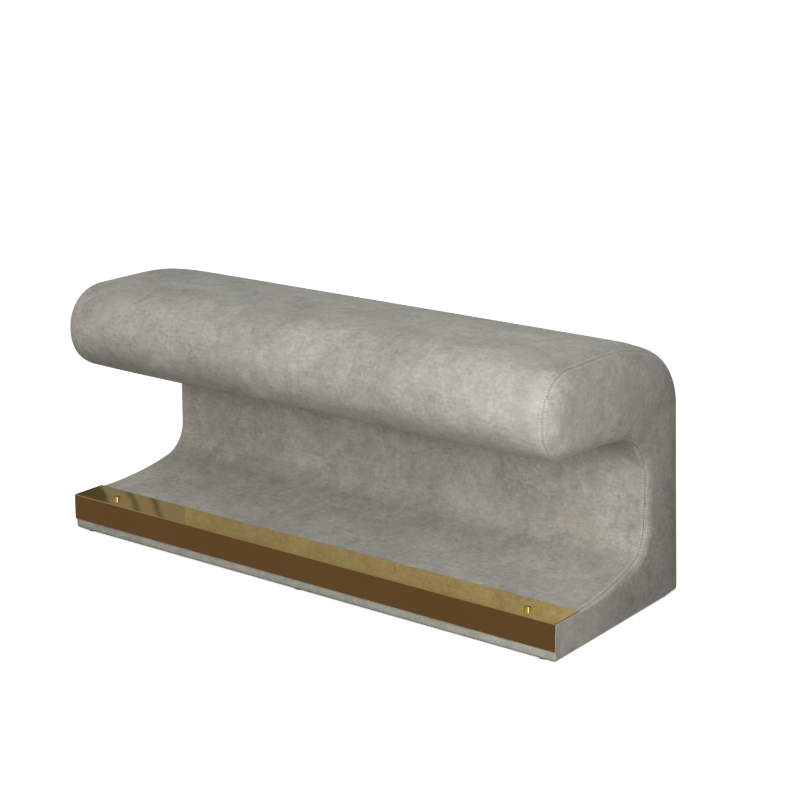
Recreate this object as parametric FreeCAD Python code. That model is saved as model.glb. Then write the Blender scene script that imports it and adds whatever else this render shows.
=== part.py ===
import FreeCAD, Part
import math
import os

# Leather ottoman bench with a C-shaped section: a padded lip on top, a hollow
# throat that opens to the front, and a low base with a brass trim along its front.
# Millimetres. +X runs along the width, the open side faces -Y, +Z is up, and the
# origin is on the floor under the centre of the overall depth and width.

# Overall sizes
overall_width = 939.8
overall_depth = 381.0
overall_height = 419.1

# Outline of the covered body
lip_thickness = 139.7
base_depth = 360.0
base_height = 59.6
wall_depth = 107.7
crown_radius = 405.0
shoulder_radius = 101.0
shoulder_angle = 67.0
lip_fall_angle = 0.6
floor_rise_angle = 15.8
throat_top_radius = 83.0
throat_floor_radius = 49.0
edge_radius = 42.0
heel_edge_radius = 17.5
throat_edge_radius = 17.5
base_edge_radius = 4.0
corner_ease = 2.0
edge_steps = 4

# Cover
leather_thickness = 1.3
turn_under = 45.0
seam_angle = 35.5

# Padding
fit_gap = 0.2
seat_foam_thickness = 30.0
nose_foam_thickness = 25.0
throat_foam_thickness = 8.0
back_foam_thickness = 8.0
base_end_foam_thickness = 8.0

# Wooden frame
base_board_thickness = 12.0
back_board_thickness = 6.0
seat_board_thickness = 9.0
shoulder_board_thickness = 6.0
lining_thickness = 5.0
rib_thickness = 18.0
shoulder_foot_drop = 117.0
shoulder_head_inset = 112.5
nose_rail_depth = 45.0
nose_rail_round = 28.0
rail_depth = 38.0
rail_height = 40.0
back_rail_thickness = 26.0
back_rail_share = 0.5
seat_rail_share = 0.55

# Brass trim and its screws
trim_sheet = 1.2
trim_face = 41.7
trim_flange = 62.4
trim_bend = 1.3
trim_screw_inset = 67.0
trim_screw_offset = 5.5
trim_screw_setback = 25.0
trim_screw_head_radius = 5.6
trim_screw_head_height = 4.4
trim_screw_head_round = 0.8
trim_screw_slot_width = 1.4
trim_screw_slot_depth = 1.6
trim_screw_radius = 1.75
trim_screw_length = 24.0

# Frame screws
screw_head_radius = 4.0
screw_head_height = 2.4
screw_radius = 2.0
screw_bite = 20.0
screw_row_shares = (0.14, 0.5, 0.86)
back_screw_shares = (0.25, 0.4, 0.75)

# Underside: glides, dust cover and staples
glide_height = 2.5
glide_radius = 11.0
glide_inset = 17.0
glide_bevel = 0.8
glide_nail_radius = 1.0
glide_nail_seat = 1.0
glide_nail_bite = 11.0
dust_cover_thickness = 0.5
dust_cover_lap = 8.0
staple_crown = 11.0
staple_wire = 0.7
staple_width = 1.2
staple_leg = 8.0
cover_staple_inset = 33.0
cover_staple_pitch = 75.0
dust_staple_inset = 41.0
dust_staple_pitch = 90.0

overrun = 10.0

# Planes and levels that the pieces share
rear_y = overall_depth / 2
nose_y = -overall_depth / 2
trim_front_y = rear_y - base_depth
base_front_y = trim_front_y + trim_sheet
flange_back_y = trim_front_y + trim_flange
wall_y = rear_y - wall_depth
bottom_z = glide_height
trim_top_z = base_height + trim_sheet
leather_half = overall_width / 2
base_corner = base_edge_radius + corner_ease

padding_start = leather_thickness + fit_gap
core_half = leather_half - edge_radius
base_half = leather_half - padding_start - base_end_foam_thickness
throat_foam_inset = padding_start + throat_foam_thickness
lining_inset = throat_foam_inset + fit_gap
rib_inset = lining_inset + lining_thickness
seat_foam_z = overall_height - padding_start - seat_foam_thickness
core_top_z = seat_foam_z - fit_gap
rib_top_z = core_top_z - seat_board_thickness
back_foam_y = rear_y - padding_start - back_foam_thickness
core_rear_y = back_foam_y - fit_gap
rib_rear_y = core_rear_y - back_board_thickness
board_bottom_z = bottom_z + leather_thickness
board_top_z = board_bottom_z + base_board_thickness
board_front_y = base_front_y + leather_thickness
rail_front_y = nose_y + padding_start + nose_foam_thickness + fit_gap
rail_back_y = rail_front_y + nose_rail_depth
rail_round_y = rail_front_y + nose_rail_round

nose_radius = lip_thickness / 2
nose_centre = (nose_y + nose_radius, overall_height - nose_radius)


def sine(angle):
    return math.sin(math.radians(angle))


def cosine(angle):
    return math.cos(math.radians(angle))


# Centres of the arcs of the C-shaped outline, each in (y, z)
crown_centre = (
    rear_y - shoulder_radius + (shoulder_radius - crown_radius) * cosine(shoulder_angle),
    overall_height - crown_radius,
)
shoulder_centre = (
    rear_y - shoulder_radius,
    crown_centre[1] + (crown_radius - shoulder_radius) * sine(shoulder_angle),
)
lip_start = (
    nose_centre[0] - nose_radius * sine(lip_fall_angle),
    nose_centre[1] - nose_radius * cosine(lip_fall_angle),
)
lip_run = (
    wall_y - throat_top_radius - lip_start[0] + throat_top_radius * sine(lip_fall_angle)
) / cosine(lip_fall_angle)
throat_top_centre = (
    wall_y - throat_top_radius,
    lip_start[1] - lip_run * sine(lip_fall_angle) - throat_top_radius * cosine(lip_fall_angle),
)
floor_radius = (
    wall_y - flange_back_y - throat_floor_radius * (1 - sine(floor_rise_angle))
) / sine(floor_rise_angle)
throat_floor_centre = (
    wall_y - throat_floor_radius,
    base_height
    + floor_radius * (1 - cosine(floor_rise_angle))
    + throat_floor_radius * cosine(floor_rise_angle),
)


def polar(centre, radius, angle):
    """The (y, z) point at an angle from +Y towards +Z about a centre."""
    return (centre[0] + radius * cosine(angle), centre[1] + radius * sine(angle))


def turn(centre, radius, start_angle, end_angle):
    """A move along an arc: its middle point and its end point."""
    middle = polar(centre, radius, (start_angle + end_angle) / 2)
    return (middle, polar(centre, radius, end_angle))


def leave(start, heading, end):
    """A move along the arc that leaves start at a heading and ends at end."""
    chord = (end[0] - start[0], end[1] - start[1])
    normal = (-sine(heading), cosine(heading))
    across = chord[0] * normal[0] + chord[1] * normal[1]
    radius = (chord[0] ** 2 + chord[1] ** 2) / (2 * across)
    centre = (start[0] + radius * normal[0], start[1] + radius * normal[1])
    middle = ((start[0] + end[0]) / 2 - centre[0], (start[1] + end[1]) / 2 - centre[1])
    reach = abs(radius) / math.hypot(*middle)
    return ((centre[0] + middle[0] * reach, centre[1] + middle[1] * reach), end)


def edges_at(x, start, moves):
    """Edges of an open path in the plane at x: one point is a line, two are an arc."""
    edges = []
    here = FreeCAD.Vector(x, *start)
    for move in moves:
        points = [FreeCAD.Vector(x, *place) for place in move]
        if len(points) == 1:
            curve = Part.LineSegment(here, points[0])
        else:
            curve = Part.Arc(here, points[0], points[1])
        edges.append(curve.toShape())
        here = points[-1]
    return edges


def slab(start, moves, x_low, x_high):
    """A closed outline in (y, z), carried along X from x_low to x_high."""
    face = Part.Face(Part.Wire(edges_at(x_low, start, moves + [(start,)])))
    return face.extrude(FreeCAD.Vector(x_high - x_low, 0, 0))


def block(x_range, y_range, z_range):
    """A box between pairs of limits."""
    sizes = [limits[1] - limits[0] for limits in (x_range, y_range, z_range)]
    corner = FreeCAD.Vector(x_range[0], y_range[0], z_range[0])
    return Part.makeBox(*sizes, corner)


def lip_point(y, inset):
    """The point of the lip's underside at y, a distance inset above the cover."""
    start_y = lip_start[0] + inset * sine(lip_fall_angle)
    start_z = lip_start[1] + inset * cosine(lip_fall_angle)
    return (y, start_z - (y - start_y) * sine(lip_fall_angle) / cosine(lip_fall_angle))


def lip_fall(nose_inset, throat_inset):
    """The fall of the line that touches the nose and the top of the throat, each drawn in."""
    run = throat_top_centre[0] - nose_centre[0]
    drop = nose_centre[1] - throat_top_centre[1]
    reach = nose_radius - nose_inset + throat_top_radius + throat_inset
    return math.degrees(math.atan2(drop, run) - math.asin(reach / math.hypot(run, drop)))


def throat_moves(inset, shelf_z, fall):
    """Moves from the lip's underside round the throat to the back of the trim."""
    top_radius = throat_top_radius + inset
    low_radius = throat_floor_radius + inset
    low_end = floor_rise_angle - 90
    floor_start = polar(throat_floor_centre, low_radius, low_end)
    return [
        (polar(throat_top_centre, top_radius, 90 - fall),),
        turn(throat_top_centre, top_radius, 90 - fall, 0),
        ((wall_y + inset, throat_floor_centre[1]),),
        turn(throat_floor_centre, low_radius, 0, low_end),
        leave(floor_start, floor_rise_angle + 180, (flange_back_y, shelf_z)),
    ]


# The covered body

def body_outline(soft, hollow, heel, firm):
    """Outline of the body, drawn in by soft outside, hollow in the throat, heel and firm at the base."""
    rear = rear_y - heel
    front = base_front_y + firm
    low = bottom_z + firm
    shelf = base_height - firm
    corner = base_corner - firm
    fall = lip_fall(soft, hollow)
    start = (front + corner, low)
    moves = [
        ((rear - corner, low),),
        turn((rear - corner, low + corner), corner, -90, 0),
        ((rear_y - soft, shoulder_centre[1]),),
        turn(shoulder_centre, shoulder_radius - soft, 0, shoulder_angle),
        turn(crown_centre, crown_radius - soft, shoulder_angle, 90),
        ((nose_centre[0], overall_height - soft),),
        turn(nose_centre, nose_radius - soft, 90, 180),
        turn(nose_centre, nose_radius - soft, 180, 270 - fall),
    ]
    moves += throat_moves(hollow, shelf, fall)
    moves += [
        ((front + corner, shelf),),
        turn((front + corner, shelf - corner), corner, 90, 180),
        ((front, low + corner),),
        turn((front + corner, low + corner), corner, 180, 270),
    ]
    return start, moves


def body_solid(depth):
    """The body with soft rounded ends, at a depth under the outer face of the leather."""
    wires = []
    angles = [90.0 * step / edge_steps for step in range(edge_steps + 1)]
    radii = (edge_radius, throat_edge_radius, heel_edge_radius, base_edge_radius)
    for side in (-1, 1):
        for angle in angles[::side]:
            insets = [depth + (radius - depth) * (1 - cosine(angle)) for radius in radii]
            x = leather_half - depth - (edge_radius - depth) * (1 - sine(angle))
            start, moves = body_outline(*insets)
            wires.append(Part.Wire(edges_at(side * x, start, moves)))
    return Part.makeLoft(wires, True, True)


covered_body = body_solid(leather_thickness)

os.makedirs("parts", exist_ok=True)


def export(node, shape):
    """Write one node and print what it holds."""
    shape.exportStep("parts/" + node + ".step")
    print(f"{node}: solids {len(shape.Solids)}, volume {shape.Volume:.0f}, valid {shape.isValid()}")


# Timber rails of square section, each in a (y, z) place, as long as the core

core_range = (-core_half, core_half)
base_range = (-base_half, base_half)


def rail(y_low, z_low, depth, height):
    return block(core_range, (y_low, y_low + depth), (z_low, z_low + height))


chamfer_foot = (core_rear_y, overall_height - shoulder_foot_drop)
chamfer_head = (core_rear_y - shoulder_head_inset, core_top_z)
chamfer_rise = chamfer_head[1] - chamfer_foot[1]
chamfer_length = math.hypot(shoulder_head_inset, chamfer_rise)
chamfer_drop = shoulder_board_thickness * chamfer_length / shoulder_head_inset
chamfer_slope = chamfer_rise / shoulder_head_inset
rib_foot_z = chamfer_foot[1] - chamfer_drop + (core_rear_y - rib_rear_y) * chamfer_slope
rib_head_y = chamfer_head[0] - (chamfer_drop - (core_top_z - rib_top_z)) / chamfer_slope
rib_foot = (rib_rear_y, rib_foot_z)
rib_head = (rib_head_y, rib_top_z)

wall_height = rib_foot_z - board_top_z
seat_run = rib_head_y - rail_back_y
frame_corner = base_corner - leather_thickness
shelf_z = base_height - leather_thickness
base_front_rail = slab(
    (board_front_y, board_top_z),
    [
        ((flange_back_y, board_top_z),),
        ((flange_back_y, shelf_z),),
        ((board_front_y + frame_corner, shelf_z),),
        turn((board_front_y + frame_corner, shelf_z - frame_corner), frame_corner, 90, 180),
    ],
    *base_range,
).common(covered_body)
base_rear_rail = rail(rib_rear_y - rail_depth, board_top_z, rail_depth, rail_height)
back_rail = rail(
    rib_rear_y - back_rail_thickness,
    board_top_z + wall_height * back_rail_share,
    back_rail_thickness,
    rail_height,
)
top_rear_rail = rail(
    rib_rear_y - back_rail_thickness,
    rib_foot_z - rail_height,
    back_rail_thickness,
    rail_height,
)
seat_rail = rail(
    rail_back_y + seat_run * seat_rail_share,
    rib_top_z - back_rail_thickness,
    rail_height,
    back_rail_thickness,
)


# Nose rail: a timber with rounded front edges, behind the foam of the lip

nose_rail_low_z = lip_point(rail_back_y, rib_inset)[1]


def nose_rail_moves(grow):
    """Moves round the front of the nose rail, from its top to its underside."""
    radius = nose_rail_round + grow
    low_z = nose_rail_low_z + nose_rail_round
    high_z = rib_top_z - nose_rail_round
    return [
        turn((rail_round_y, high_z), radius, 90, 180),
        ((rail_front_y - grow, low_z),),
        turn((rail_round_y, low_z), radius, 180, 270),
    ]


nose_rail = slab(
    (rail_back_y, nose_rail_low_z),
    [((rail_back_y, rib_top_z),), ((rail_round_y, rib_top_z),)] + nose_rail_moves(0),
    *core_range,
)

# Boards that skin the ribs

base_board = slab(
    (board_front_y, board_bottom_z + frame_corner),
    [
        turn((board_front_y + frame_corner, board_bottom_z + frame_corner), frame_corner, 180, 270),
        ((core_rear_y, board_bottom_z),),
        ((core_rear_y, board_top_z),),
        ((board_front_y, board_top_z),),
    ],
    *base_range,
).common(covered_body)
back_board = slab(
    (rib_rear_y, board_top_z),
    [((core_rear_y, board_top_z),), (chamfer_foot,), (rib_foot,)],
    *core_range,
)
shoulder_board = slab(
    rib_foot,
    [(chamfer_foot,), (chamfer_head,), (rib_head,)],
    *core_range,
)
seat_board = slab(
    rib_head,
    [(chamfer_head,), ((rail_round_y, core_top_z),), ((rail_round_y, rib_top_z),)],
    *core_range,
)


# Bent plywood lining round the throat

def throat_edges(inset, x):
    start = lip_point(rail_back_y, inset)
    return edges_at(x, start, throat_moves(inset, base_height - inset, lip_fall_angle))


lining_edges = throat_edges(lining_inset, -core_half) + throat_edges(rib_inset, -core_half)
lining_edges += edges_at(
    -core_half,
    lip_point(rail_back_y, lining_inset),
    [(lip_point(rail_back_y, rib_inset),)],
)
lining_edges += edges_at(
    -core_half,
    (flange_back_y, base_height - lining_inset),
    [((flange_back_y, base_height - rib_inset),)],
)
lining_face = Part.Face(Part.Wire(Part.__sortEdges__(lining_edges)))
throat_lining = lining_face.extrude(FreeCAD.Vector(2 * core_half, 0, 0))

# Plywood ribs, notched for the rails

rib_start = (flange_back_y, board_top_z)
rib_moves = [
    ((rib_rear_y, board_top_z),),
    (rib_foot,),
    (rib_head,),
    ((rail_back_y, rib_top_z),),
    (lip_point(rail_back_y, rib_inset),),
] + throat_moves(rib_inset, base_height - rib_inset, lip_fall_angle)
rib_names = ("left_end", "left_mid", "centre", "right_mid", "right_end")
rib_pitch = (2 * core_half - rib_thickness) / (len(rib_names) - 1)
rib_starts = [-core_half + rib_pitch * number for number in range(len(rib_names))]
rails = [base_rear_rail, back_rail, top_rear_rail, seat_rail]
ribs = [slab(rib_start, rib_moves, x, x + rib_thickness).cut(rails) for x in rib_starts]


# Countersunk screws through the base, seat and back boards into the ribs

def screw(place, direction, board):
    """A countersunk screw, its head flush with place, through a board and into a rib."""
    head = Part.makeCone(screw_head_radius, screw_radius, screw_head_height, place, direction)
    shank = Part.makeCylinder(screw_radius, board + screw_bite, place, direction)
    return head.fuse(shank).removeSplitter()


up = FreeCAD.Vector(0, 0, 1)
down = FreeCAD.Vector(0, 0, -1)
forward = FreeCAD.Vector(0, -1, 0)
base_run = rib_rear_y - rail_depth - flange_back_y
base_screws = []
seat_screws = []
back_screws = []
for x in rib_starts:
    middle_x = x + rib_thickness / 2
    for share in screw_row_shares:
        base_place = FreeCAD.Vector(middle_x, flange_back_y + base_run * share, board_bottom_z)
        base_screws.append(screw(base_place, up, base_board_thickness))
        seat_place = FreeCAD.Vector(middle_x, rail_back_y + seat_run * share, core_top_z)
        seat_screws.append(screw(seat_place, down, seat_board_thickness))
    for share in back_screw_shares:
        back_place = FreeCAD.Vector(middle_x, core_rear_y, board_top_z + wall_height * share)
        back_screws.append(screw(back_place, forward, back_board_thickness))
frame_screws = base_screws + seat_screws + back_screws

# Brass trim and the screws that hold it down on the base front rail

bend_y = trim_front_y + trim_bend
bend_z = trim_top_z - trim_bend
trim = slab(
    (trim_front_y, trim_top_z - trim_face),
    [
        ((trim_front_y, bend_z),),
        turn((bend_y, bend_z), trim_bend, 180, 90),
        ((flange_back_y, trim_top_z),),
        ((flange_back_y, base_height),),
        ((bend_y, base_height),),
        turn((bend_y, bend_z), trim_bend - trim_sheet, 90, 180),
        ((base_front_y, trim_top_z - trim_face),),
    ],
    -leather_half,
    leather_half,
)
trim_screws = []
for side in (-1, 1):
    x = side * (leather_half - trim_screw_inset) + trim_screw_offset
    y = trim_front_y + trim_screw_setback
    seat = FreeCAD.Vector(x, y, trim_top_z)
    head = Part.makeCylinder(trim_screw_head_radius, trim_screw_head_height, seat)
    rim = [edge for edge in head.Edges if edge.BoundBox.ZMin > trim_top_z]
    head = head.makeFillet(trim_screw_head_round, rim)
    head_top_z = trim_top_z + trim_screw_head_height
    slot = block(
        (x - trim_screw_head_radius, x + trim_screw_head_radius),
        (y - trim_screw_slot_width / 2, y + trim_screw_slot_width / 2),
        (head_top_z - trim_screw_slot_depth, head_top_z + overrun),
    )
    shank = Part.makeCylinder(trim_screw_radius, trim_screw_length, seat, down)
    trim_screws.append(head.cut(slot).fuse(shank).removeSplitter())
trim = trim.cut(trim_screws)
base_front_rail = base_front_rail.cut(trim_screws)

# Foam, between the leather and the wooden core

padding = body_solid(padding_start)
reach_x = overall_width
core_start = (base_front_y - overrun, bottom_z - overrun)
core_moves = [
    ((back_foam_y, bottom_z - overrun),),
    ((back_foam_y, chamfer_foot[1]),),
    ((chamfer_head[0], seat_foam_z),),
    ((rail_round_y, seat_foam_z),),
    ((rail_round_y, rib_top_z + fit_gap),),
]
core_moves += nose_rail_moves(fit_gap)
core_moves += [
    ((rail_back_y, nose_rail_low_z - fit_gap),),
    (lip_point(rail_back_y, throat_foam_inset),),
]
core_moves += throat_moves(throat_foam_inset, base_height - throat_foam_inset, lip_fall_angle)
core_moves += [
    ((flange_back_y, base_height + overrun),),
    ((base_front_y - overrun, base_height + overrun),),
]
core = slab(core_start, core_moves, *core_range)
high_z = overall_height + overrun
deep_y = (nose_y - overrun, rear_y + overrun)
sleeve = padding.common(block(core_range, deep_y, (0, high_z))).cut(core)
nose_zone = block(core_range, (nose_y - overrun, rail_round_y), (base_height + overrun, high_z))
throat_front_y = min(rail_round_y, flange_back_y)
throat_zone = block(core_range, (throat_front_y, wall_y + rib_inset), (0, nose_centre[1])).cut(nose_zone)
back_zone = block(core_range, (core_rear_y - fit_gap, rear_y), (0, chamfer_foot[1]))
nose_foam = sleeve.common(nose_zone)
throat_foam = sleeve.common(throat_zone)
back_foam = sleeve.common(back_zone)
seat_foam = sleeve.cut([nose_zone, throat_zone, back_zone])
end_foams = []
for side in (-1, 1):
    end_range = sorted((side * (core_half + fit_gap), side * reach_x))
    end_foam = padding.common(block(end_range, deep_y, (0, high_z)))
    end_foams.append(end_foam.cut([base_board, base_front_rail]))

# Leather cover: a long panel sewn at its ends to two C-shaped end panels

cover = body_solid(0).cut(covered_body)
open_x = leather_half - turn_under
open_y = (base_front_y + turn_under, rear_y - turn_under)
under_z = (0, board_bottom_z + fit_gap)
cover = cover.cut(block((-open_x, open_x), open_y, under_z))
cover = cover.cut(trim_screws)
seam_x = leather_half - edge_radius * (1 - sine(seam_angle))
end_zones = []
for side in (-1, 1):
    cap_range = sorted((side * seam_x, side * reach_x))
    strip_range = sorted((side * open_x, side * reach_x))
    cap = block(cap_range, deep_y, (0, high_z))
    end_zones.append(cap.fuse(block(strip_range, open_y, under_z)))
cover_wrap = cover.cut(end_zones)
cover_ends = [cover.common(zone) for zone in end_zones]

# Glides nailed up through the leather into the base board

glides = []
glide_nails = []
glide_y = (base_front_y + glide_inset, rear_y - glide_inset)
for x in (glide_inset - base_half, 0, base_half - glide_inset):
    for y in glide_y:
        foot = FreeCAD.Vector(x, y, 0)
        disc = Part.makeCone(glide_radius - glide_bevel, glide_radius, glide_bevel, foot)
        rim = Part.makeCylinder(glide_radius, glide_height - glide_bevel, FreeCAD.Vector(x, y, glide_bevel))
        nail_foot = FreeCAD.Vector(x, y, glide_nail_seat)
        nail_length = board_bottom_z + glide_nail_bite - glide_nail_seat
        nail = Part.makeCylinder(glide_nail_radius, nail_length, nail_foot)
        glides.append(disc.fuse(rim).removeSplitter().cut(nail))
        glide_nails.append(nail)

# Dust cover under the base, lapped over the turned-under leather

lap = turn_under - dust_cover_lap
dust_low_z = bottom_z - dust_cover_thickness
dust_cover = block(
    (lap - leather_half, leather_half - lap),
    (base_front_y + lap, rear_y - lap),
    (dust_low_z, bottom_z),
)


# Wire staples, pressed up from below along the four sides of the base

def staple(x, y, crown_z, along_x):
    """A wire staple with its crown under crown_z and its two legs pointing up."""
    low_z = crown_z - staple_wire
    leg_z = crown_z + staple_leg
    low = -staple_crown / 2
    high = staple_crown / 2
    wide = (-staple_width / 2, staple_width / 2)
    bars = [(low, high, crown_z), (low, low + staple_wire, leg_z), (high - staple_wire, high, leg_z)]
    pieces = []
    for start, end, top_z in bars:
        spans = ((start, end), wide) if along_x else (wide, (start, end))
        x_range = [x + limit for limit in spans[0]]
        y_range = [y + limit for limit in spans[1]]
        pieces.append(block(x_range, y_range, (low_z, top_z)))
    return pieces[0].fuse(pieces[1:]).removeSplitter()


def evenly(low, high, pitch):
    """Places from low to high, as near to a pitch as fits evenly."""
    count = max(1, round((high - low) / pitch))
    return [low + (high - low) * number / count for number in range(count + 1)]


def staple_rows(inset, pitch, crown_z):
    """Staples along all four sides of the base, an inset in from the leather's edge."""
    side_x = leather_half - inset
    front_y = base_front_y + inset
    back_y = rear_y - inset
    staples = []
    for x in evenly(staple_crown - side_x, side_x - staple_crown, pitch):
        staples += [staple(x, y, crown_z, True) for y in (front_y, back_y)]
    for y in evenly(front_y + staple_crown, back_y - staple_crown, pitch):
        staples += [staple(x, y, crown_z, False) for x in (-side_x, side_x)]
    return staples


cover_staples = staple_rows(cover_staple_inset, cover_staple_pitch, bottom_z)
dust_staples = staple_rows(dust_staple_inset, dust_staple_pitch, dust_low_z)

# Holes that the fasteners fill

staples = cover_staples + dust_staples
base_board = base_board.cut(base_screws + staples + glide_nails)
seat_board = seat_board.cut(seat_screws)
back_board = back_board.cut(back_screws)
ribs = [rib.cut(frame_screws) for rib in ribs]
seat_rail = seat_rail.cut(seat_screws)
base_rear_rail = base_rear_rail.cut(back_screws)
back_rail = back_rail.cut(back_screws)
top_rear_rail = top_rear_rail.cut(back_screws)
nose_rail = nose_rail.cut(seat_screws)
dust_cover = dust_cover.cut(dust_staples)
cover_wrap = cover_wrap.cut(staples + glide_nails)
cover_ends = [panel.cut(staples + glide_nails) for panel in cover_ends]

# One file for each node

for name, rib in zip(rib_names, ribs):
    export("rib_" + name, rib)
export("base_board", base_board)
export("back_board", back_board)
export("shoulder_board", shoulder_board)
export("seat_board", seat_board)
export("throat_lining", throat_lining)
export("nose_rail", nose_rail)
export("base_front_rail", base_front_rail)
export("base_rear_rail", base_rear_rail)
export("back_rail", back_rail)
export("top_rear_rail", top_rear_rail)
export("seat_rail", seat_rail)
export("seat_foam", seat_foam)
export("nose_foam", nose_foam)
export("throat_foam", throat_foam)
export("back_foam", back_foam)
export("end_foam_left", end_foams[0])
export("end_foam_right", end_foams[1])
export("cover_wrap", cover_wrap)
export("cover_end_left", cover_ends[0])
export("cover_end_right", cover_ends[1])
export("brass_trim", trim)
export("trim_screws", Part.Compound(trim_screws))
export("base_screws", Part.Compound(base_screws))
export("seat_screws", Part.Compound(seat_screws))
export("back_screws", Part.Compound(back_screws))
export("dust_cover", dust_cover)
export("cover_staples", Part.Compound(cover_staples))
export("dust_staples", Part.Compound(dust_staples))
export("foot_glides", Part.Compound(glides))
export("glide_nails", Part.Compound(glide_nails))
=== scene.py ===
import bpy
import numpy as np
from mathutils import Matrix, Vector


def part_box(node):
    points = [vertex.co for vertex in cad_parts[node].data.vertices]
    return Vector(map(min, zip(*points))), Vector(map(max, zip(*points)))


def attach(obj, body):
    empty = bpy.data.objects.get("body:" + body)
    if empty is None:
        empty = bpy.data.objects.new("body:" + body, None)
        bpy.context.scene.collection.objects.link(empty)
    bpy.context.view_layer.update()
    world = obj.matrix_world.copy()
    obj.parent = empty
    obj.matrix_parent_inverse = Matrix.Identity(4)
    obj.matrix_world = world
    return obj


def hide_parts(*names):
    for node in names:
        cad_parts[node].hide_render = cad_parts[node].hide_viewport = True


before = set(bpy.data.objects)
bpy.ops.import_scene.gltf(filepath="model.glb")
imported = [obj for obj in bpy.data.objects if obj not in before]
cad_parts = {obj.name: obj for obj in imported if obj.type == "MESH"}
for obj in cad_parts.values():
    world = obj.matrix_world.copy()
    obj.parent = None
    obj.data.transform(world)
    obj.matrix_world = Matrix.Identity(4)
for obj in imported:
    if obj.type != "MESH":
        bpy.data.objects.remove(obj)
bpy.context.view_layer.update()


# Timber frame
# Five plywood ribs carry plywood boards and softwood rails. They are glued and
# screwed together and stay out of sight under the padding.

def add(tree, kind, inputs=None, **settings):
    """Add a shader node; an input is either a value to set or a socket to link from."""
    made = tree.nodes.new("ShaderNode" + kind)
    for name, value in settings.items():
        setattr(made, name, value)
    for name, value in (inputs or {}).items():
        if isinstance(value, bpy.types.NodeSocket):
            tree.links.new(value, made.inputs[name])
        else:
            made.inputs[name].default_value = value
    return made


def start_finish(name):
    """A new material with its node tree and its surface shader."""
    material = bpy.data.materials.new(name)
    material.use_nodes = True
    tree = material.node_tree
    return material, tree, tree.nodes["Principled BSDF"]


def noise(tree, vector, scale, detail=4.0, roughness=0.55, distortion=0.0):
    """Fractal noise between 0 and 1 over a vector in metres; scale is in features per metre."""
    inputs = {"Vector": vector, "Scale": scale, "Detail": detail}
    inputs.update({"Roughness": roughness, "Distortion": distortion})
    return add(tree, "TexNoise", inputs).outputs["Fac"]


def stretch(tree, vector, scale):
    """A vector scaled along each axis, so that a pattern runs longer one way."""
    return add(tree, "Mapping", {"Vector": vector, "Scale": scale}).outputs["Vector"]


def total(tree, *terms):
    """The sum of sockets, each times its weight."""
    result = None
    for socket, weight in terms:
        inputs = {0: socket, 1: weight, 2: 0.0 if result is None else result}
        result = add(tree, "Math", inputs, operation="MULTIPLY_ADD").outputs[0]
    return result


def shades(tree, factor, *stops):
    """Colours along a factor; each stop is a place and a linear colour."""
    ramp = add(tree, "ValToRGB", {"Fac": factor})
    elements = ramp.color_ramp.elements
    while len(elements) < len(stops):
        elements.new(0.5)
    for element, (place, colour) in zip(elements, stops):
        element.position = place
        element.color = (*colour, 1.0)
    return ramp.outputs["Color"]


def paint(tree, shader, factor, *stops):
    """Colour a finish with the shades along a factor."""
    tree.links.new(shades(tree, factor, *stops), shader.inputs["Base Color"])


def relief(tree, shader, height, distance):
    """A bump from a height between 0 and 1 that stands for a distance in metres."""
    bump = add(tree, "Bump", {"Height": height, "Distance": distance})
    tree.links.new(bump.outputs["Normal"], shader.inputs["Normal"])


def wood_finish(name, pale, dark, grain):
    """Sawn wood: growth bands drawn out along the grain, with fine pores between them."""
    material, tree, shader = start_finish(name)
    place = add(tree, "TexCoord").outputs["Object"]
    along = stretch(tree, place, grain)
    bands = noise(tree, along, 60.0, detail=3.0, distortion=1.2)
    pores = noise(tree, along, 420.0, detail=2.0)
    tone = total(tree, (bands, 0.75), (pores, 0.25))
    paint(tree, shader, tone, (0.35, dark), (0.65, pale))
    shader.inputs["Roughness"].default_value = 0.7
    relief(tree, shader, pores, 0.0002)
    return material


def dress(material, *nodes):
    """Give CAD nodes a finish."""
    for name in nodes:
        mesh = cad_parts[name].data
        mesh.materials.clear()
        mesh.materials.append(material)


plywood = wood_finish("birch_plywood", (0.62, 0.45, 0.27), (0.44, 0.29, 0.15), (0.9, 0.9, 0.06))
softwood = wood_finish("planed_softwood", (0.66, 0.48, 0.28), (0.42, 0.25, 0.11), (0.05, 1.0, 1.0))
ribs = ["rib_left_end", "rib_left_mid", "rib_centre", "rib_right_mid", "rib_right_end"]
boards = ["base_board", "back_board", "seat_board", "shoulder_board", "throat_lining"]
rails = ["nose_rail", "base_front_rail", "base_rear_rail", "back_rail", "top_rear_rail", "seat_rail"]
dress(plywood, *ribs, *boards)
dress(softwood, *rails)


# Screws, staples and nails
# Zinc-plated steel fasteners that hold the frame, the leather and the dust cover.
# Each sits in its own hole, so only the staples' crowns show, under the base.

def ranged(tree, value, low, high, start=0.0, end=1.0):
    """A value carried from the range start to end into the range low to high, and held there."""
    inputs = {"Value": value, "From Min": start, "From Max": end, "To Min": low, "To Max": high}
    return add(tree, "MapRange", inputs).outputs["Result"]


def plated_steel():
    """Dull bright steel with a faint spangle in its roughness."""
    material, tree, shader = start_finish("plated_steel")
    place = add(tree, "TexCoord").outputs["Object"]
    spangle = noise(tree, place, 900.0)
    paint(tree, shader, spangle, (0.3, (0.34, 0.35, 0.37)), (0.7, (0.52, 0.52, 0.53)))
    tree.links.new(ranged(tree, spangle, 0.25, 0.5), shader.inputs["Roughness"])
    shader.inputs["Metallic"].default_value = 1.0
    return material


fasteners = ["base_screws", "seat_screws", "back_screws", "cover_staples", "dust_staples", "glide_nails"]
dress(plated_steel(), *fasteners)


# Foam pads
# Blocks of open-cell foam glued over the frame: seat, nose, throat, back and two ends.
# Each is cut a little small, with edges that the cover has pressed round.

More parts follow.
